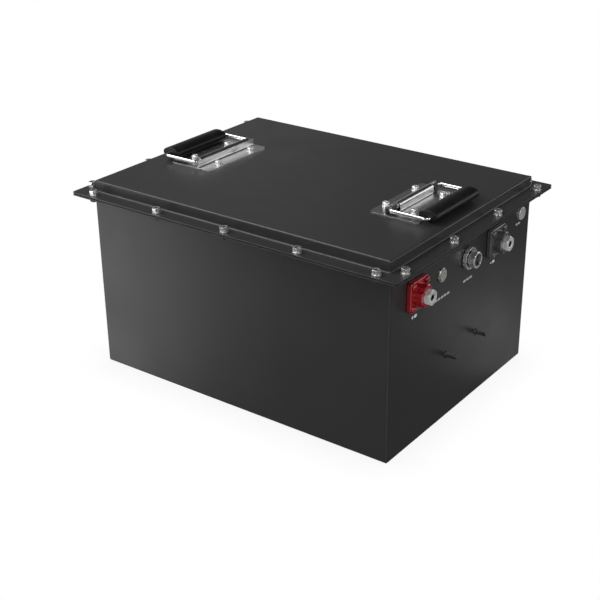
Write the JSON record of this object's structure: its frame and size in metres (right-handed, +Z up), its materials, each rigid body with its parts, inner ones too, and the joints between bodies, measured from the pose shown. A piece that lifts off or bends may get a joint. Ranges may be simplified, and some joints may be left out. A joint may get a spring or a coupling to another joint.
{
  "type": "battery pack",
  "caption": "Sheet-steel battery box with a bolted lid, folding spring handles on top, and power terminals, socket, push button and vent on one end wall.",
  "frame": {"origin": "centre of the underside of the case, on the floor it rests on", "axes": "+X out of the wall that carries the terminals, along the long side; +Y across; +Z up"},
  "size_m": [0.5265, 0.403, 0.294],
  "materials": {
    "powder_coat": "satin",
    "gasket_rubber": "matte",
    "zinc_steel": "satin",
    "weld_nut_steel": "satin",
    "plate_stainless": "brushed",
    "bail_chrome": "polished",
    "grip_rubber": "satin",
    "bush_nylon": "matte",
    "spring_steel": "satin",
    "screw_stainless": "polished",
    "red_plastic": "gloss",
    "black_plastic": "satin",
    "terminal_plating": "polished",
    "socket_nickel": "polished",
    "insert_black": "matte",
    "contact_brass": "satin",
    "button_steel": "satin",
    "button_lens": "frosted",
    "vent_steel": "polished",
    "membrane_white": "matte",
    "stud_black": "satin",
    "foam": "matte",
    "cell_film": "gloss",
    "spacer_board": "matte",
    "end_plate_alu": "satin",
    "band_steel": "satin",
    "post_alu": "satin",
    "link_nickel": "satin",
    "tray_board": "matte",
    "circuit_board": "satin",
    "heatsink_alu": "satin",
    "fuse_body": "matte",
    "cable_red": "satin",
    "cable_black": "satin",
    "lug_tin": "satin",
    "harness_sleeve": "matte"
  },
  "bodies": {
    "root": {"base_pad": "foam", "bms_board": "circuit_board", "bms_heatsink": "heatsink_alu", "bms_tray": "tray_board", "bracket_studs": "stud_black", "cable_lugs": "lug_tin", "case_body": "powder_coat", "cell_link_nuts": "zinc_steel", "cell_links": "link_nickel", "cell_spacers": "spacer_board", "cell_terminals": "post_alu", "cells": "cell_film", "charge_socket_contacts": "contact_brass", "charge_socket_insert": "insert_black", "charge_socket_nut": "socket_nickel", "charge_socket_seal": "gasket_rubber", "charge_socket_shell": "socket_nickel", "compression_bands": "band_steel", "end_plates": "end_plate_alu", "flange_weld_nuts": "weld_nut_steel", "handle_bushes": "bush_nylon", "handle_nuts": "zinc_steel", "handle_screws": "screw_stainless", "handle_washers": "screw_stainless", "left_handle_plate": "plate_stainless", "left_handle_springs": "spring_steel", "lid_bolts": "zinc_steel", "lid_cover": "powder_coat", "lid_flat_washers": "zinc_steel", "lid_gasket": "gasket_rubber", "lid_spring_washers": "zinc_steel", "main_fuse": "fuse_body", "negative_cables": "cable_black", "negative_terminal_caps": "black_plastic", "negative_terminal_housing": "black_plastic", "negative_terminal_stud": "terminal_plating", "positive_cables": "cable_red", "positive_terminal_caps": "red_plastic", "positive_terminal_housing": "red_plastic", "positive_terminal_stud": "terminal_plating", "power_button_housing": "button_steel", "power_button_nut": "button_steel", "power_button_spring": "spring_steel", "right_handle_plate": "plate_stainless", "right_handle_springs": "spring_steel", "side_pads": "foam", "terminal_flange_nuts": "zinc_steel", "terminal_flange_screws": "zinc_steel", "terminal_lug_nuts": "zinc_steel", "terminal_seals": "gasket_rubber", "tray_fasteners": "zinc_steel", "vent_body": "vent_steel", "vent_membrane": "membrane_white", "vent_nut": "vent_steel", "wiring_harness": "harness_sleeve"},
    "left_handle": {"left_handle_bail": "bail_chrome", "left_handle_grip": "grip_rubber"},
    "right_handle": {"right_handle_bail": "bail_chrome", "right_handle_grip": "grip_rubber"},
    "power_button": {"power_button_cap": "button_lens"}
  },
  "joints": [
    {"name": "left_handle_fold", "type": "hinge", "parent": "root", "child": "left_handle", "pos_m": [-0.16, 0, 0.2848], "axis": [0, 1, 0], "range_deg": [0, 90], "stiffness_Nm_per_rad": 0.05, "deforming": ["left_handle_springs"]},
    {"name": "right_handle_fold", "type": "hinge", "parent": "root", "child": "right_handle", "pos_m": [0.16, 0, 0.2848], "axis": [0, -1, 0], "range_deg": [0, 90], "stiffness_Nm_per_rad": 0.05, "deforming": ["right_handle_springs"]},
    {"name": "power_button_press", "type": "slide", "parent": "root", "child": "power_button", "axis": [-1, 0, 0], "range_m": [0, 0.0025], "stiffness_N_per_m": 400, "deforming": ["power_button_spring"]}
  ]
}
